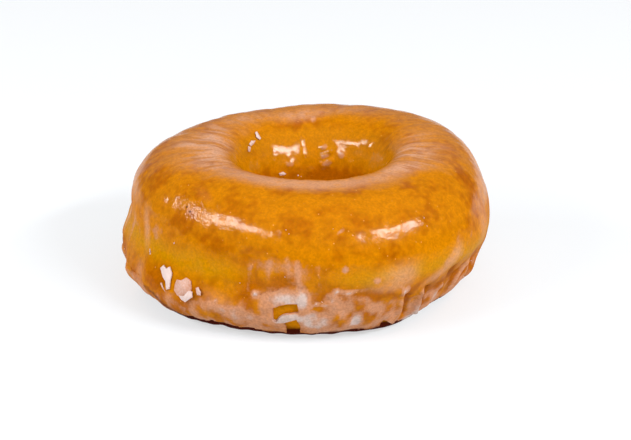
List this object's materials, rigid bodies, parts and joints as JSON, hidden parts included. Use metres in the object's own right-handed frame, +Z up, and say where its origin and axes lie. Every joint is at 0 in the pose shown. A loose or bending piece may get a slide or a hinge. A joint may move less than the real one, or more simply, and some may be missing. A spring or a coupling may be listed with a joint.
{
  "type": "ring doughnut",
  "caption": "Glazed, yeast-raised ring doughnut: a fat uneven ring of fried dough with a round hole, a pale seam round its waist and a flat base to rest on.",
  "frame": {"origin": "on the table plane, under the middle of the ring's bounding box", "axes": "+Z up through the hole, -Y towards the front as pictured, +X to the right of that view"},
  "size_m": [0.0958, 0.0962, 0.0374],
  "materials": {
    "fried_crust": "golden-brown fried dough, slightly wrinkled, paler along the seam",
    "sugar_glaze": "thin clear sugar glaze over golden crust, glossy, clouding to white where it is thick",
    "dried_sugar": "cracked flakes and crystals of dried white glaze, satin"
  },
  "bodies": {
    "root": {"ring_doughnut": "fried_crust"}
  },
  "joints": []
}
